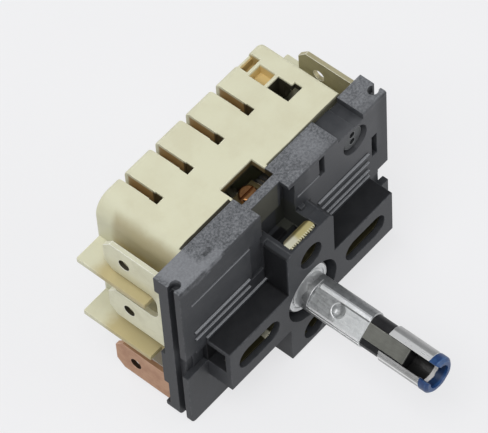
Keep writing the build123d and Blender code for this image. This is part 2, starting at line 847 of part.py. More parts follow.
def cam_follower():
    """Follower lever: eye, lower arm with the nose, upright and the upper arm over the bimetal."""
    low = pivot_z - lever_plate
    arm = span(pivot_x, lever_right, low, pivot_z)
    upright = span(upright_left, upright_right, pivot_z, lever_top_z)
    top = span(upright_left, lever_top_right, lever_top_z - lever_top_plate, lever_top_z)
    seat = span(upright_left, pivot_x + seat_length, bimetal_z, lever_top_z)
    nose = Pos(0, nose_z) * Circle(nose_radius) + span(-nose_radius, nose_radius, nose_z, low + 0.2)
    profile = arm + upright + top + seat + nose + Pos(pivot_x, pivot_z) * Circle(eye_radius)
    profile -= Pos(pivot_x, pivot_z) * Circle(pin_radius + running_gap)
    body = along_y(profile, lever_front, lever_back)
    body -= Pos(adjust_x, lever_mid_y, 0) * along_z(Circle(adjust_shank_radius), bimetal_z, lever_top_z)
    return solid(body)


def follower_pin():
    """Steel pin through the lever's eye, held in the cover and the housing."""
    return solid(rod(pin_radius, plate_back + 0.4, lever_back + 2.3, pivot_x, pivot_z))


def bimetal_strip():
    """Working bimetal under the lever's upper arm."""
    body = block(upright_right, bimetal_end, lever_front + 0.2, lever_back - 0.2,
                 bimetal_z - bimetal_plate, bimetal_z)
    return solid(body)


def compensator_strip():
    """Second bimetal along the lever's lower arm."""
    return solid(block(pivot_x + 2.4, lever_right, lever_front + 0.3, lever_back - 0.3,
                       pivot_z, pivot_z + compensator_plate))


def heater_end():
    """Where the winding stops along the bimetal."""
    return heater_start + (heater_turns - 1) * heater_pitch + heater_wire


def heater_sleeve():
    """Mica sleeve round the bimetal under the winding."""
    half = (lever_back - lever_front) / 2 - 0.2
    middle = bimetal_z - bimetal_plate / 2
    outer = Pos(lever_mid_y, middle) * Rectangle(2 * (half + mica), bimetal_plate + 2 * mica)
    inner = Pos(lever_mid_y, middle) * Rectangle(2 * half, bimetal_plate)
    return solid(along_x(outer - inner, heater_start - 0.3, heater_end() + 0.3))


def heater_winding():
    """Heater wire round the mica, its turns joined by the lead along the bottom."""
    half = (lever_back - lever_front) / 2 - 0.2 + mica
    middle = bimetal_z - bimetal_plate / 2
    height = bimetal_plate + 2 * mica
    inner = Pos(lever_mid_y, middle) * Rectangle(2 * half, height)
    outer = Pos(lever_mid_y, middle) * RectangleRounded(2 * (half + heater_wire), height + 2 * heater_wire,
                                                        heater_wire * 0.9)
    body = None
    for number in range(heater_turns):
        start = heater_start + number * heater_pitch
        turn = along_x(outer - inner, start, start + heater_wire)
        body = turn if body is None else body + turn
    lead = block(heater_start, heater_end(), lever_mid_y - 0.25, lever_mid_y + 0.25,
                 middle - height / 2 - heater_wire * 0.8, middle - height / 2)
    return solid(body + lead)


def striker_bead():
    """Ceramic bead under the bimetal's free end, just above the cycling blade."""
    top = bimetal_z - bimetal_plate
    bottom = cycle_blade_z + blade_plate + bead_gap
    bead = Pos(bimetal_end - bead_radius - 0.1, lever_mid_y, 0) * along_z(Circle(bead_radius), bottom, top)
    return solid(fillet(bead.faces().sort_by(Axis.Z)[0].edges(), 0.3))


def adjust_screw():
    """Calibration screw in the lever's upper arm, seen through the window."""
    shank = along_z(Circle(adjust_shank_radius), bimetal_z + 0.02, lever_top_z)
    head = along_z(Circle(adjust_head_radius), lever_top_z, lever_top_z + 1.1)
    head = fillet(head.faces().sort_by(Axis.Z)[-1].edges(), 0.4)
    slot = along_z(Rectangle(2 * adjust_head_radius, 0.5), lever_top_z + 0.6, lever_top_z + 1.1)
    return solid(Pos(adjust_x, lever_mid_y, 0) * (shank + head - slot))


def button(x, y, low, high, radius=button_radius):
    """A round contact button."""
    return solid(Pos(x, y, 0) * along_z(Circle(radius), low, high))


def snap_blade():
    """Cycling blade: the contact end and the tongue under the bead."""
    low_y = cycle_contact_y - blade_half_width
    high_y = cycle_contact_y + blade_half_width
    strip = span(cycle_contact_x - tail_reach, cavity_half - sheet - 0.2, low_y, high_y)
    tongue = span(cycle_contact_x - 1.0, cycle_contact_x + 1.4, lever_front + 0.4, high_y)
    slot = span(cycle_contact_x + blade_slot_start, cycle_hinge_x - blade_slot_gap,
                cycle_contact_y - blade_slot_height / 2, cycle_contact_y + blade_slot_height / 2)
    outline = strip + tongue - slot
    return solid(along_z(outline, cycle_blade_z, cycle_blade_z + blade_plate))


def line_blade():
    """Line blade with the formed nose that the notched disc works."""
    low_y = line_front - 0.1
    high_y = line_back + 1.5
    body = block(line_contact_x - 1.5, cavity_half - sheet - 0.2, low_y, high_y,
                 line_blade_z, line_blade_z + blade_plate)
    top = -line_radius - line_nose_gap
    radius = line_nose_radius
    nose = Pos(0, top - radius) * Circle(radius)
    nose -= span(-2 * radius, 2 * radius, top - 3 * radius, line_blade_z + blade_plate)
    nose += span(-radius, radius, line_blade_z + blade_plate, top - radius)
    body += along_y(nose, low_y, line_back + 0.1)
    return solid(body)


def contact_set():
    """The four contact buttons, each by its node's name."""
    cycle_top = cycle_blade_z + blade_plate
    middle_y = (line_front - 0.1 + line_back + 1.5) / 2
    cycle_face = cycle_top + button_height
    line_face = line_blade_z - line_button_height
    floor_top = cavity_bottom + sheet
    return {
        "moving_contact": button(cycle_contact_x, cycle_contact_y, cycle_top, cycle_face),
        "fixed_contact": button(cycle_contact_x, cycle_contact_y, cycle_face + contact_gap, output_arm_z),
        "line_moving_contact": button(line_contact_x, middle_y, line_face, line_blade_z, line_button_radius),
        "line_fixed_contact": button(line_contact_x, middle_y, floor_top, line_face - contact_gap,
                                     line_button_radius),
    }


def all_nodes():
    """Every piece by its node's name."""
    nodes = {
        "front_cover": front_cover(),
        "rear_housing": rear_housing(),
        "mounting_strap": mounting_strap(),
        "twin_terminal": twin_terminal(),
        "load_terminal": load_terminal(),
        "supply_terminal": supply_terminal(),
        "return_terminal": return_terminal(),
        "cover_screw": cover_screw(),
        "shaft_sleeve": shaft_sleeve(),
        "shaft_core": shaft_core(),
        "shaft_clip": shaft_clip(),
        "shaft_leaf": shaft_leaf(),
        "shaft_tip_cap": shaft_tip_cap(),
        "retaining_ring": retaining_ring(),
        "return_spring": return_spring(),
        "cam": cam(),
        "cam_follower": cam_follower(),
        "follower_pin": follower_pin(),
        "bimetal_strip": bimetal_strip(),
        "compensator_strip": compensator_strip(),
        "heater_sleeve": heater_sleeve(),
        "heater_winding": heater_winding(),
        "striker_bead": striker_bead(),
        "adjust_screw": adjust_screw(),
        "snap_blade": snap_blade(),
        "line_blade": line_blade(),
    }
    nodes.update(contact_set())
    return nodes


os.makedirs("parts", exist_ok=True)
for node_name, node in all_nodes().items():
    node.label = node_name
    export_step(node, f"parts/{node_name}.step")
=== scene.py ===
"""Looks of the cooker regulator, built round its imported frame.

Lengths are metres and angles are degrees unless a name or comment says otherwise. The origin is on the
shaft's axis in the front face of the mounting boss, X runs to the right, Y to the back and Z up.
"""
import logging
import math
from dataclasses import dataclass, field, replace
from enum import Enum
from typing import Any, ClassVar

import bmesh
import bpy
from mathutils import Matrix, Vector, geometry
from mathutils.bvhtree import BVHTree


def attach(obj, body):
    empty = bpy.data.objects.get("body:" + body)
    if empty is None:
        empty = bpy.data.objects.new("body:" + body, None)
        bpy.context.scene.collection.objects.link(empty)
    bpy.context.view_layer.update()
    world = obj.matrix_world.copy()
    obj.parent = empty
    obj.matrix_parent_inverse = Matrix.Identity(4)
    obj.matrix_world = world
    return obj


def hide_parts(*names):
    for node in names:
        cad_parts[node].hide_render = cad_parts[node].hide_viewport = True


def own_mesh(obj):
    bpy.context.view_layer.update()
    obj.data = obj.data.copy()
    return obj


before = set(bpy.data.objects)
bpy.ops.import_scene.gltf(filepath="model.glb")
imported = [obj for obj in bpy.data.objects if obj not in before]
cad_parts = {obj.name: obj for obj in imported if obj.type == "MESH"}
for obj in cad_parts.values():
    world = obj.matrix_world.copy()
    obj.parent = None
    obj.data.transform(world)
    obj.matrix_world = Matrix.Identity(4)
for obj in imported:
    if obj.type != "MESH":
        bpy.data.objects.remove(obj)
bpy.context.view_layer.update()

MM = 0.001
DRAWN = 0.12
Colour = tuple[float, float, float]
Place = tuple[float, float, float]
log = logging.getLogger("switch")


class Direction(Enum):
    """Axis that a rolled or moulded grain follows, as the scale that draws noise out along it."""

    X = (DRAWN, 1.0, 1.0)
    Y = (1.0, DRAWN, 1.0)
    Z = (1.0, 1.0, DRAWN)
    NONE = (1.0, 1.0, 1.0)


class Lamp(Enum):
    """The studio's soft lamps."""

    KEY = "key"
    FILL = "fill"
    RIM = "rim"


@dataclass(frozen=True)
class Patch:
    """Box in millimetres, in a piece's own frame, where its finish takes another colour.

    Its border is soft, frayed where it is ragged, and a pitch breaks it into stripes across X.
    """

    low: Place
    high: Place
    colour: Colour
    strength: float = 1.0
    soft: float = 0.3
    ragged: float = 0.0
    pitch: float = 0.0


class Wire:
    """A shader socket whose Python operators add Math nodes."""

    def __init__(self, graph: "Graph", socket: bpy.types.NodeSocket) -> None:
        """Keeps the socket and the graph that it belongs to."""
        self.graph = graph
        self.socket = socket

    def _math(self, operation: str, first: Any, second: Any) -> "Wire":
        """Adds one Math node.

        Args:
            operation: name of the Math node's operation.
            first: left operand, a wire or a number.
            second: right operand, a wire or a number.

        Returns:
            The node's result.
        """
        made = self.graph.node("ShaderNodeMath", {"operation": operation}, {0: first, 1: second})
        return Wire(self.graph, made.outputs[0])

    def __add__(self, other: Any) -> "Wire":
        """Sum."""
        return self._math("ADD", self, other)

    __radd__ = __add__

    def __mul__(self, other: Any) -> "Wire":
        """Product."""
        return self._math("MULTIPLY", self, other)

    __rmul__ = __mul__

    def __sub__(self, other: Any) -> "Wire":
        """Difference."""
        return self._math("SUBTRACT", self, other)

    def __rsub__(self, other: Any) -> "Wire":
        """Difference with the wire on the right."""
        return self._math("SUBTRACT", other, self)

    def most(self, other: Any) -> "Wire":
        """Larger of the two."""
        return self._math("MAXIMUM", self, other)

    def above(self, low: float, high: float) -> "Wire":
        """Smooth step from nought to one.

        Args:
            low: value where the step starts.
            high: value where the step ends.

        Returns:
            The stepped value.
        """
        made = self.graph.node("ShaderNodeMapRange", {"interpolation_type": "SMOOTHSTEP"},
                               {"Value": self, "From Min": low, "From Max": high})
        return Wire(self.graph, made.outputs[0])


class Graph:
    """Builds one material's nodes."""

    stripe_border: ClassVar[float] = 0.3

    def __init__(self, name: str) -> None:
        """Starts an empty material.

        Args:
            name: the material's name.
        """
        self.material = bpy.data.materials.new(name)
        self.material.use_nodes = True
        self.tree = self.material.node_tree
        self.tree.nodes.clear()

    def node(self, kind: str, settings: dict[str, Any] | None = None,
             inputs: dict[Any, Any] | None = None) -> bpy.types.Node:
        """Adds a node, sets it up and fills its sockets.

        Args:
            kind: the node's type.
            settings: the node's own settings, set first.
            inputs: value or wire for each socket, by its name or number.

        Returns:
            The new node.
        """
        made = self.tree.nodes.new(kind)
        for key, value in (settings or {}).items():
            setattr(made, key, value)
        for key, value in (inputs or {}).items():
            if isinstance(value, Wire):
                self.tree.links.new(value.socket, made.inputs[key])
            else:
                made.inputs[key].default_value = self._fitted(made.inputs[key], value)
        return made

    @staticmethod
    def _fitted(socket: bpy.types.NodeSocket, value: Any) -> Any:
        """Adds the alpha that a colour socket wants.

        Args:
            socket: where the value goes.
            value: a number or a tuple.

        Returns:
            The value in the socket's own shape.
        """
        if socket.type == "RGBA" and len(value) == 3:
            return (*value, 1.0)
        return value

    def wire(self, kind: str, output: Any = 0, settings: dict[str, Any] | None = None,
             inputs: dict[Any, Any] | None = None) -> Wire:
        """Adds a node and gives one of its outputs.

        Args:
            kind: the node's type.
            output: name or number of the output.
            settings: the node's own settings.
            inputs: value or wire for each socket.

        Returns:
            The chosen output.
        """
        return Wire(self, self.node(kind, settings, inputs).outputs[output])

    def place(self, stretch: Direction = Direction.NONE) -> Wire:
        """Place on the piece in its own frame, drawn out along a grain.

        Args:
            stretch: axis that the grain follows.

        Returns:
            The vector.
        """
        own = self.wire("ShaderNodeTexCoord", "Object")
        return self.wire("ShaderNodeVectorMath", 0, {"operation": "MULTIPLY"}, {0: own, 1: stretch.value})

    def noise(self, size: float, vector: Wire, detail: float = 3.0, rough: float = 0.55) -> Wire:
        """Noise whose blotches have a real size.

        Args:
            size: width of a blotch.
            vector: where it is read.
            detail: number of finer layers.
            rough: strength of the finer layers.

        Returns:
            The noise from nought to one.
        """
        return self.wire("ShaderNodeTexNoise", 0, {"noise_dimensions": "3D"},
                         {"Vector": vector, "Scale": 1.0 / size, "Detail": detail, "Roughness": rough})

    def blend(self, factor: Wire, first: Any, second: Any) -> Wire:
        """Mixes two colours.

        Args:
            factor: share of the second colour.
            first: colour or wire.
            second: colour or wire.

        Returns:
            The mixed colour.
        """
        return self.wire("ShaderNodeMix", 2, {"data_type": "RGBA"}, {0: factor, 6: first, 7: second})

    def patched(self, base: Wire, patches: tuple[Patch, ...], blotches: Wire) -> Wire:
        """Lays a finish's patches over its colour.

        Args:
            base: colour below the patches.
            patches: the patches, the last on top.
            blotches: noise that frays the ragged ones.

        Returns:
            The colour with the patches on it.
        """
        for patch in patches:
            base = self.blend(self.inside(patch, blotches), base, patch.colour)
        return base

    def inside(self, patch: Patch, blotches: Wire) -> Wire:
        """Share of a patch's colour at each place.

        Args:
            patch: the patch.
            blotches: noise that frays its border.

        Returns:
            The share, from nought to the patch's strength.
        """
        middle = tuple((low + high) / 2 * MM for low, high in zip(patch.low, patch.high))
        half = tuple((high - low) / 2 * MM for low, high in zip(patch.low, patch.high))
        own = self.wire("ShaderNodeTexCoord", "Object")
        offset = self.wire("ShaderNodeVectorMath", 0, {"operation": "SUBTRACT"}, {0: own, 1: middle})
        size = self.wire("ShaderNodeVectorMath", 0, {"operation": "ABSOLUTE"}, {0: offset})
        beyond = self.wire("ShaderNodeVectorMath", 0, {"operation": "SUBTRACT"}, {0: size, 1: half})
        parts = [Wire(self, part) for part in self.node("ShaderNodeSeparateXYZ", None, {0: beyond}).outputs]
        distance = parts[0].most(parts[1]).most(parts[2])
        if patch.ragged:
            distance = distance + (blotches - 0.5) * (patch.ragged * MM)
        share = (1 - distance.above(0.0, patch.soft * MM)) * patch.strength
        if patch.pitch:
            turns = self.own_part(0) * (math.tau / (patch.pitch * MM))
            stripes = self.wire("ShaderNodeMath", 0, {"operation": "SINE"}, {0: turns})
            share = share * stripes.above(-self.stripe_border, self.stripe_border)
        return share

    def attribute(self, name: str) -> Wire:
        """Value painted on the mesh by name."""
        return self.wire("ShaderNodeAttribute", "Fac", {"attribute_name": name})

    def own_part(self, axis: int) -> Wire:
        """One part of the place on the piece in its own frame.

        Args:
            axis: 0 for X, 1 for Y, 2 for Z.

        Returns:
            The part in metres.
        """
        split = self.node("ShaderNodeSeparateXYZ", None, {0: self.wire("ShaderNodeTexCoord", "Object")})
        return Wire(self, split.outputs[axis])

    def normal_part(self, axis: int) -> Wire:
        """One part of the surface's own normal, before any bump.

        Args:
            axis: 0 for X, 1 for Y, 2 for Z.

        Returns:
            The part, from minus one to one.
        """
        split = self.node("ShaderNodeSeparateXYZ", None, {0: self.wire("ShaderNodeTexCoord", "Normal")})
        return Wire(self, split.outputs[axis])

    def bump(self, height: Wire, depth: float) -> Wire:
        """Turns a height into a shading normal.

        Args:
            height: height from nought to one.
            depth: real depth of the relief.

        Returns:
            The normal.
        """
        return self.wire("ShaderNodeBump", 0, None, {"Height": height, "Distance": depth, "Strength": 1.0})

    def surface(self, sockets: dict[str, Any]) -> bpy.types.Material:
        """Ends the graph in one shader.

        Args:
            sockets: value or wire for each of the shader's sockets.

        Returns:
            The finished material.
        """
        shader = self.wire("ShaderNodeBsdfPrincipled", 0, None, sockets)
        self.node("ShaderNodeOutputMaterial", None, {"Surface": shader})
        return self.material


@dataclass(frozen=True)
class MouldedFinish:
    """Moulded plastic: mottled colour, fine grain, edges lighter from wear with a painted highlight on them,
    scuffed tops, and patches that are mostly painted light and shade.
    """

    name: str
    colour: Colour
    shade: Colour
    rubbed_and_lit: Colour
    scuffed: Colour
    roughness: float = 0.5
    specular: float = 0.4
    blotch: float = 4 * MM
    grain: float = 0.22 * MM
    relief: float = 0.012 * MM
    edge_wear_and_light: float = 0.6
    scuff: float = 0.0
    scuff_level: float = -1.0
    patches: tuple[Patch, ...] = ()

    cloud_share: ClassVar[float] = 0.6
    scratch_size: ClassVar[float] = 0.2 * MM
    speckle_size: ClassVar[float] = 0.4 * MM
    scuff_fade: ClassVar[float] = 0.3 * MM
    mark_floor: ClassVar[float] = 0.08
    cloud_marks: ClassVar[float] = 0.3
    speckle_marks: ClassVar[float] = 0.62
    scratch_marks: ClassVar[float] = 0.2
    mottled_roughness: ClassVar[float] = 0.16
    scuffed_roughness: ClassVar[float] = 0.15
    fine_relief: ClassVar[float] = 0.7
    cloud_relief: ClassVar[float] = 0.6

    def material(self) -> bpy.types.Material:
        """Builds the material.

        Returns:
            The finished material.
        """
        graph = Graph(self.name)
        place = graph.place()
        mottle = graph.noise(self.blotch, place, detail=4.0)
        fine = graph.noise(self.grain, place, detail=2.0)
        cloud = graph.noise(self.blotch * self.cloud_share, place, detail=6.0, rough=0.65)
        scratch = graph.noise(self.scratch_size, graph.place(Direction.X), rough=0.6)
        speckle = graph.noise(self.speckle_size, place, detail=4.0, rough=0.7)
        base = graph.blend(mottle.above(0.35, 0.7), self.colour, self.shade)
        upward = graph.normal_part(2).above(0.7, 0.95)
        height = graph.own_part(2).above(self.scuff_level - self.scuff_fade, self.scuff_level)
        marks = self.mark_floor + cloud.above(0.3, 0.72) * self.cloud_marks
        marks = marks + speckle.above(0.36, 0.64) * self.speckle_marks
        marks = marks + scratch.above(0.5, 0.8) * self.scratch_marks
        scuff = upward * height * marks * self.scuff
        scuffed = graph.blend(scuff, base, self.scuffed)
        # Edges lighter from wear, which also stands for a painted highlight along them
        worn_and_lit = graph.attribute("edge") * cloud.above(0.35, 0.7) * self.edge_wear_and_light
        colour = graph.patched(graph.blend(worn_and_lit, scuffed, self.rubbed_and_lit), self.patches, cloud)
        rough = self.roughness + (mottle - 0.5) * self.mottled_roughness + scuff * self.scuffed_roughness
        normal = graph.bump(fine * self.fine_relief + cloud * self.cloud_relief, self.relief)
        return graph.surface({"Base Color": colour, "Roughness": rough, "Normal": normal,
                              "Specular IOR Level": self.specular})


@dataclass(frozen=True)
class MetalFinish:
    """Rolled, cast or plated metal: drawn grain, blotches of tarnish, a painted highlight on the edges,
    painted shade in the bore, and patches that are mostly painted light and shade.
    """

    name: str
    colour: Colour
    tarnish: Colour
    bright: Colour
    roughness: float = 0.35
    metallic: float = 1.0
    grain: Direction = Direction.Y
    grain_size: float = 0.12 * MM
    blotch: float = 2.4 * MM
    tarnished: float = 0.5
    streaks: float = 0.35
    relief: float = 0.004 * MM
    shaded_bore: float = 0.0
    patches: tuple[Patch, ...] = ()

    # Strength of the painted highlight on the edges, then colour, cover and fade of the painted shade in the
    # bore
    edge_shine: ClassVar[float] = 0.7
    bore_shade_colour: ClassVar[Colour] = (0.008, 0.008, 0.008)
    bore_cover: ClassVar[float] = 0.93
    bore_fade: ClassVar[float] = 0.25 * MM
    stained_roughness: ClassVar[float] = 0.22
    drawn_roughness: ClassVar[float] = 0.2
    drawn_relief: ClassVar[float] = 0.6
    blotch_relief: ClassVar[float] = 0.4

    def material(self) -> bpy.types.Material:
        """Builds the material.

        Returns:
            The finished material.
        """
        graph = Graph(self.name)
        place = graph.place()
        blotch = graph.noise(self.blotch, place, detail=5.0, rough=0.6)
        lines = graph.noise(self.grain_size, graph.place(self.grain))
        stain = blotch.above(0.42, 0.7) * self.tarnished
        base = graph.blend(stain, self.colour, self.tarnish)
        streaked = graph.blend(lines.above(0.3, 0.75) * self.streaks, base, self.tarnish)
        # Painted highlight on the rounded edges
        colour = graph.blend(graph.attribute("edge") * self.edge_shine, streaked, self.bright)
        colour = graph.patched(colour, self.patches, blotch)
        if self.shaded_bore:
            colour = self._darkened(graph, colour)
        rough = self.roughness + stain * self.stained_roughness + (lines - 0.5) * self.drawn_roughness
        normal = graph.bump(lines * self.drawn_relief + blotch * self.blotch_relief, self.relief)
        return graph.surface({"Base Color": colour, "Metallic": self.metallic, "Roughness": rough,
                              "Normal": normal})

    def _darkened(self, graph: Graph, colour: Wire) -> Wire:
        """Paints shade on what lies within the bore's radius of the shaft's axis.

        Args:
            graph: the material's graph.
            colour: colour of the metal.

        Returns:
            The colour with the painted shade in the bore.
        """
        across, upright = graph.own_part(0), graph.own_part(2)
        from_axis = across * across + upright * upright
        bore = 1 - from_axis.above(self.shaded_bore ** 2, (self.shaded_bore + self.bore_fade) ** 2)
        return graph.blend(bore * self.bore_cover, colour, self.bore_shade_colour)


# Colours of painted shade in hollows and recesses, of painted shadow and painted light, of real scuffs, and
# of a painted highlight on metal
BROWN_SHADE = (0.3, 0.17, 0.045)
UMBER_SHADE = (0.11, 0.07, 0.02)
HONEY_SHADE = (0.66, 0.48, 0.18)
AMBER_SHADE = (0.42, 0.28, 0.08)
STRAW_SHADE = (0.42, 0.33, 0.13)
WINDOW_SHADE = (0.03, 0.022, 0.007)
OLIVE_SHADE = (0.04, 0.042, 0.034)
SHADOW = (0.003, 0.003, 0.0035)
LIT = (0.26, 0.267, 0.28)
WORN = (0.23, 0.237, 0.25)
PAINTED_SHINE = (1.0, 1.0, 0.98)

# Planes and edges of the switch that the patches keep to, in millimetres
CASE_TOP = 21.2
ABOVE = CASE_TOP + 0.3
WALL = 18.6
JOINT = 9.5
PLATE_FACE = 4.5
ARM_REACH = 18.5
ARM_TOP = 4.6
BLOCK_SIDE = 5.2
TAB_PLANE = 21.7
HOLE_HALF = 1.5
FIN_INNER, FIN_TIP = 20.2, 24.0
CHUTE_LEFT, CHUTE_RIGHT = 11.8, 16.5
VENTS_LEFT, VENTS_RIGHT = -14.0, 9.0


def both_sides(patch: Patch) -> tuple[Patch, Patch]:
    """Repeats a patch on the other side of the shaft.

    Args:
        patch: the patch on the right.

    Returns:
        The patch and its mirror image.
    """
    low, high = patch.low, patch.high
    return patch, replace(patch, low=(-high[0], *low[1:]), high=(-low[0], *high[1:]))


def fin_shade(low: float, reach: float) -> Patch:
    """Painted shade on the outer part of one barrier fin on the left.

    Args:
        low: height of the shade's lower side in millimetres.
        reach: depth that it reaches to in millimetres.

    Returns:
        The patch.
    """
    return Patch((-FIN_TIP, JOINT - 0.5, low), (-FIN_INNER, reach, low + 0.6), STRAW_SHADE, 0.75, 3.2, 2.5)


def rib_lines(left: float, right: float, top: float) -> tuple[Patch, Patch]:
    """Painted highlight on the upper edge of one rib on the plate, and painted shadow in a line above it.

    Args:
        left: left end in millimetres.
        right: right end in millimetres.
        top: height of the rib's upper edge in millimetres.

    Returns:
        The two patches.
    """
    face = PLATE_FACE
    return (Patch((left, face - 0.07, top + 0.08), (right, face + 0.1, top + 0.3), SHADOW, 0.7, 0.1),
            Patch((left, face - 0.5, top - 0.07), (right, face - 0.03, top + 0.05), LIT, 0.95, 0.05))


def groove_lines(left: float, right: float, low: float, glint: float) -> tuple[Patch, Patch]:
    """Painted highlight on the lower edge of one groove in the plate, and painted shadow in a line in it.

    Args:
        left: left end in millimetres.
        right: right end in millimetres.
        low: height of the groove's lower edge in millimetres.
        glint: strength of the painted highlight.

    Returns:
        The two patches.
    """
    face = PLATE_FACE
    return (Patch((left, face - 0.05, low), (right, face + 0.3, low + 0.13), LIT, glint, 0.06),
            Patch((left, face + 0.05, low + 0.18), (right, face + 0.4, low + 0.55), SHADOW, 0.9, 0.05))


def on_lip(front: float, back: float, colour: Colour, strength: float, soft: float, **more: float) -> Patch:
    """Patch on the strap's lip, over its whole width.

    Args:
        front: depth where it starts in millimetres.
        back: depth where it ends in millimetres.
        colour: its colour.
        strength: its strength.
        soft: width of its border in millimetres.
        **more: the patch's other values.

    Returns:
        The patch.
    """
    return Patch((-4.0, front, 13.4), (2.4, back, 14.3), colour, strength, soft, **more)


def hole_shade(front: float, middle: float, colour: Colour) -> Patch:
    """Painted shade on the wall of the hole in one tab on the left.

    Args:
        front: depth where the patch starts in millimetres.
        middle: height of the hole in millimetres.
        colour: colour of the painted shade.

    Returns:
        The patch.
    """
    low = (-TAB_PLANE - 0.29, front, middle - HOLE_HALF)
    high = (-TAB_PLANE + 0.29, 18.4, middle + HOLE_HALF)
    return Patch(low, high, colour, 0.95, 0.08)


def lit_or_shaded_line(low: float, high: float, tone: float, strength: float) -> Patch:
    """One painted highlight line or painted shadow line along the sleeve's left side.

    Args:
        low: height of its lower side in millimetres.
        high: height of its upper side in millimetres.
        tone: brightness of its grey.
        strength: its strength.

    Returns:
        The patch.
    """
    return Patch((-3.1, -10.9, low), (-2.7, -1.6, high), (tone, tone, tone), strength, 0.06)


HOUSING_SHADE_AND_SEAMS = (
    # Painted shade on the left wall, above and below the fins, and on the fins
    Patch((-WALL - 0.1, 10.5, 6.5), (-WALL + 0.3, 20.5, 20.2), (0.3, 0.22, 0.09), 0.55, 1.6, 1.0),
    Patch((-WALL - 0.1, 9.0, -6.0), (-WALL + 0.2, 22.0, -1.4), (0.27, 0.19, 0.07), 0.55, 1.2, 1.0),
    fin_shade(13.0, 19.0),
    fin_shade(-0.6, 18.5),
    # Joint with the cover, left and right of the window
    Patch((-WALL - 0.1, 9.0, 20.9), (-6.1, JOINT + 0.42, ABOVE), (0.016, 0.012, 0.003), 1.0, 0.16, 0.2),
    Patch((2.1, 9.0, 20.0), (WALL + 0.1, JOINT + 0.18, ABOVE), (0.03, 0.027, 0.013), 0.9, 0.14, 0.2),
    # Painted shade in the depths of the vents and in the holes at their front ends
    Patch((VENTS_LEFT, 15.5, 15.0), (VENTS_RIGHT, 24.0, 20.5), BROWN_SHADE, 0.92, 0.4, 0.3),
    Patch((VENTS_LEFT, 15.0, 15.0), (VENTS_RIGHT, 19.3, 20.8), (0.06, 0.044, 0.02), 0.97, 0.3, 0.4),
    # Painted shade in the pocket, end pocket and hole of the chute
    Patch((CHUTE_LEFT, 19.4, 15.0), (CHUTE_RIGHT, 22.6, 20.6), HONEY_SHADE, 0.85, 0.35, 0.4),
    Patch((CHUTE_LEFT, 23.0, 15.0), (CHUTE_RIGHT, 24.4, 20.6), AMBER_SHADE, 0.85, 0.3, 0.6),
    Patch((CHUTE_LEFT, 10.0, 8.0), (CHUTE_RIGHT, 18.7, 20.75), (0.012, 0.009, 0.003), 0.96, 0.25, 0.3),
    # Painted shade on the walls of the window
    Patch((-6.0, 7.0, 8.0), (2.0, 12.3, 20.7), UMBER_SHADE, 0.93, 0.25, 0.3),
)
COVER_SHADES = (
    # Painted light on the right half of the plate and on the left half of the wall over the recess
    Patch((6.0, PLATE_FACE - 0.1, 11.5), (20.0, 4.6, 20.5), (0.085, 0.087, 0.092), 0.55, 2.0, 1.0),
    Patch((-5.3, 6.1, 12.0), (0.2, 6.5, 20.9), (0.08, 0.079, 0.062), 0.75, 0.3, 0.3),
    # Painted shade on the tops of the arms, the sides of the block and the far ends of the slots
    *both_sides(Patch((BLOCK_SIDE, 0.3, ARM_TOP - 0.3), (18.3, 4.4, ARM_TOP + 0.15), SHADOW, 0.7, 0.2)),
    *both_sides(Patch((BLOCK_SIDE - 0.15, 0.4, ARM_TOP), (BLOCK_SIDE + 0.15, 4.5, 13.6), SHADOW, 0.75, 0.2)),
    *both_sides(Patch((15.9, 1.1, -0.75), (ARM_REACH - 0.05, 6.0, 3.65), SHADOW, 0.95, 0.15)),
    # Painted shade in the recess behind the lip and on the cover's side of the window
    Patch((0.3, 2.6, 10.0), (1.9, 7.5, 15.4), OLIVE_SHADE, 1.0, 0.3),
    Patch((-3.5, 2.6, 10.0), (0.3, 6.0, 13.0), SHADOW, 1.0, 0.3),
    Patch((-6.0, 7.7, 8.0), (2.0, 9.6, 20.9), WINDOW_SHADE, 0.9, 0.2),
    # Painted light on the wall beside the cover screw
    Patch((16.2, 4.7, 14.2), (18.6, 6.4, 19.6), (0.1, 0.102, 0.107), 0.8, 0.15),
    # Scuffs and one nick on the top
    Patch((-21.5, 5.2, 20.9), (-17.5, 9.5, ABOVE), WORN, 0.62, 1.2, 2.5),
    Patch((-17.0, 4.7, 20.9), (-13.6, 5.5, ABOVE), WORN, 0.5, 0.6, 2.0),
    Patch((-15.5, 6.3, 21.0), (-14.2, 6.6, ABOVE), SHADOW, 0.45, 0.3, 0.8),
    Patch((6.3, 5.4, 20.9), (10.0, 8.6, ABOVE), WORN, 0.3, 0.8, 2.5),
    Patch((18.2, 5.0, 20.9), (22.5, 9.2, ABOVE), WORN, 0.15, 0.9, 2.5),
    # Painted highlights and painted shadows along the ribs and grooves of the plate
    *rib_lines(6.9, 18.5, 10.75),
    *rib_lines(6.9, 18.5, 8.75),
    *rib_lines(6.9, 18.5, 6.75),
    *rib_lines(-20.7, -8.6, 9.15),
    *rib_lines(-20.7, -8.6, 7.45),
    *rib_lines(-18.5, -5.2, 5.4),
    *rib_lines(5.2, 18.5, 5.4),
    *groove_lines(-20.7, -6.0, 15.8, 0.7),
    *groove_lines(2.7, 7.7, 16.8, 0.6),
)
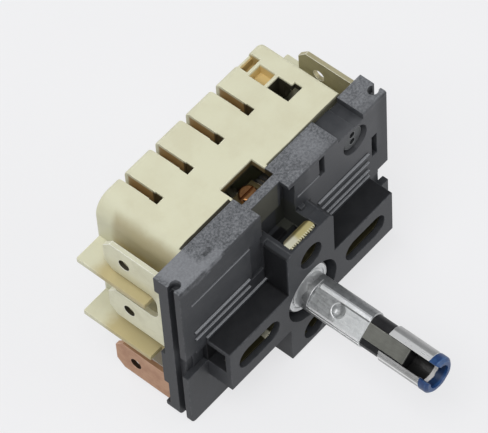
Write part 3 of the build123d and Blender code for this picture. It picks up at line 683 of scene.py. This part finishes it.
STRAP_SHADES = (
    # Painted shade on the plate behind the openings, and a painted glint in the left slot
    Patch((-20.0, -1.0, -14.0), (20.0, 4.0, 11.9), (0.03, 0.027, 0.012), 0.93, 0.25, 2.2),
    Patch((-9.7, 0.9, -2.3), (-8.8, 1.7, -1.6), (0.95, 0.92, 0.7), 0.9, 0.25, 0.6),
    # Lip: golden top, a painted highlight on its left end, painted shade on its back and along the teeth, and
    # painted highlights on the teeth's tips
    on_lip(0.3, 2.6, (0.8, 0.7, 0.33), 0.85, 0.1),
    Patch((-4.0, 0.3, 13.4), (-1.9, 2.1, 14.3), (1.0, 0.97, 0.76), 0.9, 0.9, 0.6),
    on_lip(2.15, 3.2, (0.07, 0.05, 0.012), 0.85, 0.4, ragged=0.3),
    on_lip(0.3, 0.8, (0.09, 0.065, 0.015), 0.8, 0.15),
    on_lip(0.3, 1.0, (1.0, 0.96, 0.66), 0.95, 0.12, pitch=0.42),
)
SCREW_SHADES = (
    # Painted shade on the left side of the head
    Patch((12.9, 4.0, 14.0), (13.8, 7.0, 19.8), SHADOW, 0.95, 0.3),
)
HOLE_WALL_SHADE = (
    # Painted shade on the walls of the tabs' holes
    hole_shade(15.0, 17.1, (0.03, 0.022, 0.01)),
    hole_shade(15.0, 5.4, (0.03, 0.022, 0.01)),
    hole_shade(13.8, -8.9, (0.02, 0.01, 0.005)),
)
SLEEVE_SHADES = (
    # Painted light on the outer half, painted shade on the right side and a painted highlight on the flange
    Patch((-4.0, -11.2, -4.0), (-0.3, -6.6, 4.0), (0.9, 0.92, 0.91), 0.58, 1.5, 2.0),
    Patch((0.7, -11.2, 1.0), (3.2, -1.6, 3.2), (0.24, 0.245, 0.245), 0.5, 0.4, 0.5),
    Patch((-4.6, -0.1, -4.6), (4.6, 1.3, 4.6), (0.8, 0.81, 0.81), 0.75, 0.3, 2.5),
    # Painted highlight band on top with a painted shadow line beside it
    Patch((-0.14, -10.9, 1.5), (0.5, -1.6, 3.1), (0.95, 0.96, 0.96), 0.8, 0.12),
    Patch((-0.34, -10.9, 1.5), (-0.22, -5.6, 3.0), (0.07, 0.07, 0.07), 0.8, 0.06),
    # Painted highlight and shadow lines along the left side
    lit_or_shaded_line(0.38, 0.6, 0.95, 0.6),
    lit_or_shaded_line(0.1, 0.28, 0.04, 0.9),
    lit_or_shaded_line(-0.22, 0.0, 0.95, 0.6),
    lit_or_shaded_line(-0.5, -0.34, 0.05, 0.85),
)
CLIP_SHADES = (
    # Painted highlight band on top and a painted highlight on the lower edge
    Patch((-0.9, -22.2, 2.3), (0.62, -14.4, 3.2), PAINTED_SHINE, 0.8, 0.3),
    Patch((-3.2, -22.2, -0.2), (-2.8, -14.4, 0.1), PAINTED_SHINE, 0.7, 0.15),
)
CAP_SHADES = (
    # Painted shade inside and a painted highlight on the inner rim
    Patch((-2.0, -23.2, -2.0), (1.9, -22.3, 1.5), (0.006, 0.02, 0.06), 0.8, 0.3),
    Patch((-2.0, -22.2, -2.0), (1.9, -21.3, 1.0), (0.72, 0.7, 0.67), 0.9, 0.15, 0.6),
)

CREAM = MouldedFinish("cream_moulding", (0.64, 0.627, 0.452), (0.595, 0.572, 0.403), (0.72, 0.7, 0.55),
                      (0.64, 0.63, 0.5), roughness=0.48, blotch=5 * MM, edge_wear_and_light=0.5, scuff=0.25,
                      patches=HOUSING_SHADE_AND_SEAMS)
BLACK = MouldedFinish("black_moulding", (0.034, 0.036, 0.04), (0.044, 0.046, 0.05), (0.11, 0.113, 0.118),
                      (0.24, 0.248, 0.26), roughness=0.5, specular=0.28, blotch=2.0 * MM, relief=0.02 * MM,
                      edge_wear_and_light=0.55, scuff=0.8, scuff_level=20.9 * MM, patches=COVER_SHADES)
CORE = MouldedFinish("core_moulding", (0.008, 0.008, 0.009), (0.014, 0.014, 0.015), (0.05, 0.05, 0.055),
                     (0.04, 0.04, 0.042), roughness=0.45, specular=0.25, blotch=1.5 * MM, edge_wear_and_light=0.3)
BLUE = MouldedFinish("blue_moulding", (0.007, 0.036, 0.135), (0.02, 0.07, 0.19), (0.12, 0.24, 0.42),
                     (0.07, 0.2, 0.45), roughness=0.4, specular=0.4, blotch=1.2 * MM, edge_wear_and_light=0.35,
                     patches=CAP_SHADES)
CAM = MouldedFinish("cam_moulding", (0.6, 0.58, 0.52), (0.55, 0.53, 0.47), (0.7, 0.69, 0.64),
                    (0.62, 0.6, 0.55), roughness=0.4, blotch=2 * MM)
BRASS = MetalFinish("brass_sheet", (0.52, 0.45, 0.2), (0.3, 0.25, 0.09), (0.95, 0.92, 0.62), roughness=0.34,
                    metallic=0.55, grain=Direction.Z, tarnished=0.4, patches=STRAP_SHADES)
TIN = MetalFinish("tinned_sheet", (0.74, 0.73, 0.56), (0.6, 0.58, 0.42), (0.9, 0.9, 0.82), roughness=0.5,
                  metallic=0.6, tarnished=0.4, streaks=0.2, patches=HOLE_WALL_SHADE)
AGED_TIN = MetalFinish("aged_tin_sheet", (0.48, 0.44, 0.28), (0.36, 0.32, 0.19), (0.85, 0.84, 0.74),
                       roughness=0.5, metallic=0.6, tarnished=0.5, streaks=0.3)
COPPER = MetalFinish("copper_sheet", (0.52, 0.31, 0.19), (0.38, 0.2, 0.13), (0.66, 0.45, 0.34), roughness=0.5,
                     metallic=0.6, tarnished=0.5, streaks=0.25, patches=HOLE_WALL_SHADE)
ZINC = MetalFinish("cast_zinc", (0.46, 0.47, 0.47), (0.2, 0.205, 0.205), (0.85, 0.85, 0.85), roughness=0.36,
                   metallic=0.85, grain_size=0.3 * MM, blotch=0.7 * MM, tarnished=0.8, streaks=0.5,
                   relief=0.04 * MM, patches=SLEEVE_SHADES)
STRIP = MetalFinish("clip_strip", (0.42, 0.42, 0.415), (0.26, 0.26, 0.25), (0.9, 0.9, 0.88), roughness=0.3,
                    metallic=0.6, tarnished=0.4, shaded_bore=2.5 * MM, patches=CLIP_SHADES)
LEAF = MetalFinish("leaf_strip", (0.18, 0.182, 0.16), (0.11, 0.11, 0.095), (0.34, 0.34, 0.31), roughness=0.5,
                   metallic=0.5, tarnished=0.4)
DARK_STEEL = MetalFinish("dark_screw", (0.085, 0.09, 0.092), (0.05, 0.052, 0.053), (0.3, 0.31, 0.31),
                         roughness=0.45, metallic=0.6, patches=SCREW_SHADES)
SCREW_COPPER = MetalFinish("coppered_screw", (0.42, 0.21, 0.085), (0.14, 0.06, 0.03), (0.7, 0.48, 0.34),
                           roughness=0.34, blotch=0.9 * MM, tarnished=0.7)
WIRE_STEEL = MetalFinish("drawn_wire", (0.45, 0.45, 0.45), (0.25, 0.25, 0.25), (0.7, 0.7, 0.7), roughness=0.3)
PLATE = MetalFinish("passivated_plate", (0.32, 0.26, 0.13), (0.15, 0.11, 0.05), (0.6, 0.52, 0.34),
                    roughness=0.36)
BIMETAL = MetalFinish("bimetal_strip", (0.44, 0.41, 0.36), (0.3, 0.26, 0.2), (0.66, 0.63, 0.58),
                      roughness=0.34)
MICA = MetalFinish("mica_sheet", (0.5, 0.41, 0.26), (0.34, 0.26, 0.15), (0.66, 0.58, 0.42),
                   roughness=0.3, metallic=0.1)
BRONZE = MetalFinish("spring_bronze", (0.66, 0.42, 0.22), (0.42, 0.25, 0.12), (0.86, 0.64, 0.42),
                     roughness=0.3)
SILVER = MetalFinish("contact_silver", (0.8, 0.79, 0.76), (0.5, 0.48, 0.45), (0.95, 0.95, 0.93),
                     roughness=0.25)


class Workshop:
    """Makes softened copies of the frame's nodes and dresses them."""

    outer_angle: ClassVar[float] = math.radians(32.0)
    sharp_angle: ClassVar[float] = math.radians(35.0)
    flat_angle: ClassVar[float] = math.radians(0.6)
    same_plane: ClassVar[float] = 0.99995
    weld_distance: ClassVar[float] = 0.002 * MM
    rounding_steps: ClassVar[int] = 2
    sliver_area: ClassVar[float] = 2e-10
    turned_over: ClassVar[float] = -0.3
    fold_reach: ClassVar[float] = 2.0
    # Share of its weight that an edge beside a fold keeps, try by try
    kept_shares: ClassVar[tuple[float, ...]] = (0.6, 0.6, 0.0, 0.0, 0.0)

    def __init__(self) -> None:
        """Starts with no materials and no pieces."""
        self.built: dict[str, bpy.types.Material] = {}
        self.pieces: list[bpy.types.Object] = []

    def finish(self, finish: Any) -> bpy.types.Material:
        """Builds a finish once and gives it again afterwards.

        Args:
            finish: the finish to build.

        Returns:
            Its material.
        """
        if finish.name not in self.built:
            self.built[finish.name] = finish.material()
        return self.built[finish.name]

    def dress(self, node: str, finish: Any) -> bpy.types.Object:
        """Gives a frame node its finish and leaves its shape.

        Args:
            node: the node's name.
            finish: the finish to give.

        Returns:
            The node's object.
        """
        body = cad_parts[node]
        body.data.materials.clear()
        body.data.materials.append(self.finish(finish))
        self.pieces.append(body)
        return body

    def copy(self, node: str, body: str, slot: str, finish: Any) -> bpy.types.Object:
        """Makes a plain copy of a node that stands for it.

        Args:
            node: the node's name.
            body: the moving body that it rides on.
            slot: name of a material slot; not used.
            finish: the finish to give.

        Returns:
            The new piece.
        """
        return self._stand_in(node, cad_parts[node].data.copy(), body, finish)

    def _stand_in(self, node: str, mesh: bpy.types.Mesh, body: str,
                  finish: Any) -> bpy.types.Object:
        """Puts a dressed piece in a node's place.

        Args:
            node: the node's name.
            mesh: the piece's mesh.
            body: the moving body that it rides on.
            finish: the finish to give.

        Returns:
            The new piece.
        """
        mesh.name = node + "_soft"
        mesh.materials.clear()
        mesh.materials.append(self.finish(finish))
        piece = bpy.data.objects.new(mesh.name, mesh)
        bpy.context.scene.collection.objects.link(piece)
        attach(piece, body)
        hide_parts(node)
        self.pieces.append(piece)
        return piece

    def soften(self, node: str, body: str, slot: str, finish: Any, width: float) -> bpy.types.Object:
        """Makes a copy of a node with rounded outer edges that stands for it.

        Args:
            node: the node's name.
            body: the moving body that it rides on.
            slot: name of a material slot; not used.
            finish: the finish to give.
            width: width of the rounded edge.

        Returns:
            The new piece.
        """
        mesh = self._rounded(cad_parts[node].data, width)
        self._mark_edges(mesh)
        self._shade(mesh)
        return self._stand_in(node, mesh, body, finish)

    def _flattened(self, plain: bpy.types.Mesh) -> bpy.types.Mesh:
        """Copies an imported mesh with its seams joined and its outer edges marked for rounding.

        Args:
            plain: the imported mesh.

        Returns:
            The copy.
        """
        work = bmesh.new()
        work.from_mesh(plain)
        bmesh.ops.remove_doubles(work, verts=work.verts, dist=self.weld_distance)
        bmesh.ops.dissolve_limit(work, angle_limit=self.flat_angle, verts=work.verts, edges=work.edges,
                                 use_dissolve_boundaries=False)
        wide = [face for face in work.faces if len(face.verts) > 4]
        bmesh.ops.triangulate(work, faces=wide, quad_method="BEAUTY", ngon_method="BEAUTY")
        weight = work.edges.layers.float.new("bevel_weight_edge")
        for edge in work.edges:
            if len(edge.link_faces) == 2 and edge.calc_face_angle_signed() > self.outer_angle:
                edge[weight] = 1.0
        flat = bpy.data.meshes.new(plain.name + "_flat")
        work.to_mesh(flat)
        work.free()
        flat.materials.append(None)
        flat.materials.append(None)
        return flat

    def _rounded(self, plain: bpy.types.Mesh, width: float) -> bpy.types.Mesh:
        """Rounds a mesh's outer edges, less or not at all where the shape is too tight for it.

        Args:
            plain: the imported mesh, which stays as it is.
            width: width of the rounded edge.

        Returns:
            The rounded mesh.
        """
        flat = self._flattened(plain)
        plain.calc_loop_triangles()
        skin = BVHTree.FromPolygons([point.co for point in plain.vertices],
                                    [tuple(part.vertices) for part in plain.loop_triangles])
        rounded = self._bevelled(flat, width)
        for share in self.kept_shares:
            folds = self._folds(rounded, skin, width)
            if not folds:
                break
            self._ease(flat, folds, width, share)
            bpy.data.meshes.remove(rounded)
            rounded = self._bevelled(flat, width)
        bpy.data.meshes.remove(flat)
        return rounded

    def _bevelled(self, flat: bpy.types.Mesh, width: float) -> bpy.types.Mesh:
        """Rounds every marked edge by its weight; the new faces take the second material.

        Args:
            flat: the marked mesh.
            width: width of the rounded edge.

        Returns:
            The new mesh.
        """
        piece = bpy.data.objects.new("rounding", flat)
        bpy.context.scene.collection.objects.link(piece)
        round_over = piece.modifiers.new("round_over", "BEVEL")
        round_over.width = width
        round_over.segments = self.rounding_steps
        round_over.limit_method = "WEIGHT"
        round_over.use_clamp_overlap = False
        round_over.loop_slide = False
        round_over.miter_outer = "MITER_ARC"
        round_over.material = 1
        mesh = bpy.data.meshes.new_from_object(piece.evaluated_get(bpy.context.evaluated_depsgraph_get()))
        bpy.data.objects.remove(piece)
        return mesh

    def _folds(self, mesh: bpy.types.Mesh, skin: BVHTree, width: float) -> list[Vector]:
        """Finds where the rounding has turned triangles over or pushed them off the shape.

        Args:
            mesh: the rounded mesh.
            skin: the shape before the rounding.
            width: width of the rounded edge.

        Returns:
            The middle of each such triangle.
        """
        folds = []
        mesh.calc_loop_triangles()
        for part in mesh.loop_triangles:
            middle = sum((mesh.vertices[corner].co for corner in part.vertices), Vector()) / 3
            _, normal, _, gap = skin.find_nearest(middle)
            if part.area > self.sliver_area and (normal.dot(part.normal) < self.turned_over or gap > width):
                folds.append(middle)
        return folds

    def _ease(self, flat: bpy.types.Mesh, folds: list[Vector], width: float, share: float) -> None:
        """Lowers the weight of the marked edges beside the folds.

        Args:
            flat: the marked mesh.
            folds: where the rounding folds.
            width: width of the rounded edge.
            share: share of its weight that such an edge keeps.
        """
        weights = flat.attributes["bevel_weight_edge"].data
        for edge in flat.edges:
            if weights[edge.index].value <= 0.0:
                continue
            first, second = (flat.vertices[end].co for end in edge.vertices)
            for fold in folds:
                near, along = geometry.intersect_point_line(fold, first, second)
                near = first if along < 0 else second if along > 1 else near
                if (near - fold).length < self.fold_reach * width:
                    weights[edge.index].value *= share
                    break

    @staticmethod
    def _mark_edges(mesh: bpy.types.Mesh) -> None:
        """Paints the rounded edges for wear and for a painted highlight.

        Args:
            mesh: the mesh to mark.
        """
        paint = mesh.attributes.new("edge", "FLOAT", "CORNER")
        for face in mesh.polygons:
            rounded = 1.0 if face.material_index == 1 else 0.0
            for corner in face.loop_indices:
                paint.data[corner].value = rounded
            face.material_index = 0

    def _shade(self, mesh: bpy.types.Mesh) -> None:
        """Smooths the shading, so that each flat keeps its own normal up to the rounding beside it.

        Args:
            mesh: the mesh to shade.
        """
        areas = self._flat_areas(mesh)
        normals = [face.normal.copy() for face in mesh.polygons]
        around: list[list[int]] = [[] for _ in mesh.vertices]
        for face in mesh.polygons:
            for point in face.vertices:
                around[point].append(face.index)
        limit = math.cos(self.sharp_angle)
        corners = []
        for face in mesh.polygons:
            own = normals[face.index]
            for point in face.vertices:
                near = [other for other in around[point] if normals[other].dot(own) > limit]
                corners.append(sum((normals[other] * areas[other] for other in near), Vector()).normalized())
        mesh.shade_smooth()
        mesh.normals_split_custom_set(corners)

    def _flat_areas(self, mesh: bpy.types.Mesh) -> list[float]:
        """Measures the whole flat that each face is a part of.

        Args:
            mesh: the mesh to measure.

        Returns:
            The flat's area for each face.
        """
        work = bmesh.new()
        work.from_mesh(mesh)
        areas = [0.0] * len(work.faces)
        seen: set[int] = set()
        for start in work.faces:
            if start.index in seen:
                continue
            seen.add(start.index)
            flat, waiting = [start], [start]
            while waiting:
                for edge in waiting.pop().edges:
                    for face in edge.link_faces:
                        if face.index not in seen and face.normal.dot(start.normal) > self.same_plane:
                            seen.add(face.index)
                            flat.append(face)
                            waiting.append(face)
            whole = sum(face.calc_area() for face in flat)
            for face in flat:
                areas[face.index] = whole
        work.free()
        return areas


@dataclass
class Casing:
    """Front cover, rear housing, strap and cover screw."""

    shop: Workshop
    cover_edge: float = 0.13 * MM
    housing_edge: float = 0.2 * MM
    strap_edge: float = 0.05 * MM
    screw_edge: float = 0.06 * MM

    def build(self) -> None:
        """Builds and dresses the case."""
        self.shop.soften("front_cover", "housing", "cover_black", BLACK, self.cover_edge)
        self.shop.soften("rear_housing", "housing", "housing_cream", CREAM, self.housing_edge)
        self.shop.soften("mounting_strap", "housing", "strap_brass", BRASS, self.strap_edge)
        self.shop.soften("cover_screw", "housing", "screw_steel", DARK_STEEL, self.screw_edge)


@dataclass
class Terminals:
    """The four folded terminals with their tabs."""

    shop: Workshop
    edge: float = 0.07 * MM

    def build(self) -> None:
        """Builds and dresses the terminals."""
        for node, slot, finish in (("twin_terminal", "terminal_tin", TIN),
                                   ("supply_terminal", "terminal_tin", AGED_TIN),
                                   ("return_terminal", "terminal_tin", TIN),
                                   ("load_terminal", "terminal_copper", COPPER)):
            self.shop.soften(node, "housing", slot, finish, self.edge)


@dataclass
class ControlShaft:
    """Sleeve, core, clip, leaf and tip of the control shaft."""

    shop: Workshop
    sleeve_edge: float = 0.08 * MM
    clip_edge: float = 0.1 * MM
    cap_edge: float = 0.12 * MM
    leaf_edge: float = 0.05 * MM
    travel: float = 2.5 * MM

    def build(self) -> None:
        """Builds and dresses the shaft."""
        self.shop.soften("shaft_sleeve", "shaft", "shaft_zinc", ZINC, self.sleeve_edge)
        self.shop.soften("shaft_clip", "shaft", "clip_steel", STRIP, self.clip_edge)
        self.shop.soften("shaft_tip_cap", "shaft", "tip_blue", BLUE, self.cap_edge)
        self.shop.soften("shaft_leaf", "shaft", "leaf_steel", LEAF, self.leaf_edge)
        self.shop.dress("shaft_core", CORE)
        self.shop.dress("retaining_ring", WIRE_STEEL)
        self._spring()

    def _spring(self) -> None:
        """Makes a plain copy of the return spring, riding on the cam."""
        spring = self.shop.copy("return_spring", "cam", "spring_steel", WIRE_STEEL)
        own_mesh(spring)


@dataclass
class Mechanism:
    """Cam, follower lever, bimetals, heater and contacts inside the case."""

    shop: Workshop
    screw_edge: float = 0.08 * MM
    finishes: dict[str, Any] = field(default_factory=lambda: {
        "cam": CAM,
        "cam_follower": PLATE,
        "follower_pin": WIRE_STEEL,
        "bimetal_strip": BIMETAL,
        "compensator_strip": BIMETAL,
        "heater_sleeve": MICA,
        "heater_winding": WIRE_STEEL,
        "striker_bead": CAM,
        "snap_blade": BRONZE,
        "line_blade": BRONZE,
        "moving_contact": SILVER,
        "fixed_contact": SILVER,
        "line_moving_contact": SILVER,
        "line_fixed_contact": SILVER,
    })

    def build(self) -> None:
        """Dresses the hidden pieces and rounds the adjusting screw."""
        for node, finish in self.finishes.items():
            self.shop.dress(node, finish)
        self.shop.soften("adjust_screw", "follower_lever", "screw_copper", SCREW_COPPER, self.screw_edge)


@dataclass
class Studio:
    """Pale floor, soft lamps and the camera at the photograph's viewpoint."""

    floor_level: float = -12.8 * MM
    floor_half: float = 1.5
    floor_colour: Colour = (0.8, 0.8, 0.815)
    paper_colour: Colour = (0.88, 0.88, 0.89)
    paper_roughness: float = 0.5
    evenness: float = 0.8
    room_colour: Colour = (0.93, 0.95, 1.0)
    room_strength: float = 0.36
    azimuth: float = -46.01
    elevation: float = 55.02
    roll: float = -4.29
    distance: float = 533.94 * MM
    target: Place = (0.0, 6 * MM, 3 * MM)
    aside: float = 5.477 * MM
    below: float = -6.133 * MM
    focal_pixels: float = 3632.6
    image_width: int = 488
    sensor: float = 36.0
    nearest: float = 0.01
    lamps: dict[Lamp, tuple[Place, float, float]] = field(default_factory=lambda: {
        Lamp.KEY: ((-0.35, -0.1, 0.8), 0.6, 5.0),
        Lamp.FILL: ((0.55, -0.75, 0.35), 0.7, 3.2),
        Lamp.RIM: ((0.2, 0.8, 0.45), 0.5, 2.4),
    })

    def build(self) -> None:
        """Builds the floor, the lamps, the world and the camera."""
        self._floor()
        for lamp, (place, size, power) in self.lamps.items():
            self._lamp(lamp, Vector(place), size, power)
        self._world()
        self._camera()
        bpy.context.scene.view_settings.view_transform = "Standard"

    def _floor(self) -> None:
        """Lays the floor that the switch stands on."""
        mesh = bpy.data.meshes.new("floor")
        half = self.floor_half
        corners = [(-half, -half), (half, -half), (half, half), (-half, half)]
        mesh.from_pydata([(x, y, self.floor_level) for x, y in corners], [], [(0, 1, 2, 3)])
        mesh.materials.append(self._paper())
        floor = bpy.data.objects.new("floor", mesh)
        bpy.context.scene.collection.objects.link(floor)

    def _paper(self) -> bpy.types.Material:
        """Makes the floor's paper, whose own colour shows over most of its faint shadow.

        Returns:
            The finished material.
        """
        graph = Graph("floor_paper")
        rays = graph.node("ShaderNodeLightPath")
        seen = Wire(graph, rays.outputs["Is Camera Ray"])
        for name in ("Is Glossy Ray", "Is Transmission Ray"):
            seen = seen.most(Wire(graph, rays.outputs[name]))
        lit = graph.wire("ShaderNodeBsdfDiffuse", 0, None,
                         {"Color": self.floor_colour, "Roughness": self.paper_roughness})
        even = graph.wire("ShaderNodeEmission", 0, None, {"Color": self.paper_colour, "Strength": 1.0})
        mixed = graph.wire("ShaderNodeMixShader", 0, None, {0: seen * self.evenness, 1: lit, 2: even})
        graph.node("ShaderNodeOutputMaterial", None, {"Surface": mixed})
        return graph.material

    @staticmethod
    def _lamp(lamp: Lamp, place: Vector, size: float, power: float) -> None:
        """Hangs one soft lamp that points at the switch.

        Args:
            lamp: which lamp it is.
            place: where it hangs.
            size: side of its square face.
            power: its power in watts.
        """
        light = bpy.data.lights.new(lamp.value, "AREA")
        light.shape = "SQUARE"
        light.size = size
        light.energy = power
        holder = bpy.data.objects.new(lamp.value, light)
        holder.location = place
        holder.rotation_euler = (-place).to_track_quat("-Z", "Y").to_euler()
        bpy.context.scene.collection.objects.link(holder)

    def _world(self) -> None:
        """Fills the room with even light."""
        world = bpy.data.worlds.new("studio")
        world.use_nodes = True
        background = world.node_tree.nodes["Background"]
        background.inputs["Color"].default_value = (*self.room_colour, 1.0)
        background.inputs["Strength"].default_value = self.room_strength
        bpy.context.scene.world = world

    def _camera(self) -> None:
        """Sets the camera where the photograph was taken from."""
        azimuth = math.radians(self.azimuth)
        elevation = math.radians(self.elevation)
        roll = math.radians(self.roll)
        back = Vector((math.sin(azimuth) * math.cos(elevation), -math.cos(azimuth) * math.cos(elevation),
                       math.sin(elevation)))
        level = Vector((math.cos(azimuth), math.sin(azimuth), 0.0))
        upright = back.cross(level)
        right = math.cos(roll) * level + math.sin(roll) * upright
        up = math.cos(roll) * upright - math.sin(roll) * level
        data = bpy.data.cameras.new("camera")
        data.sensor_fit = "HORIZONTAL"
        data.sensor_width = self.sensor
        data.lens = self.focal_pixels / self.image_width * self.sensor
        data.clip_start = self.nearest
        camera = bpy.data.objects.new("camera", data)
        turn = Matrix((right, up, back)).transposed().to_4x4()
        spot = Vector(self.target) - right * self.aside - up * self.below + back * self.distance
        camera.matrix_world = Matrix.Translation(spot) @ turn
        bpy.context.scene.collection.objects.link(camera)
        bpy.context.scene.camera = camera


def main() -> None:
    """Builds the studio and every sub-assembly, then reports the pieces."""
    logging.basicConfig(level=logging.INFO, format="%(message)s")
    shop = Workshop()
    Studio().build()
    for part in (Casing(shop), Terminals(shop), ControlShaft(shop), Mechanism(shop)):
        part.build()
    for piece in shop.pieces:
        log.info("%s: %d faces", piece.name, len(piece.data.polygons))


if __name__ == "__main__":
    main()
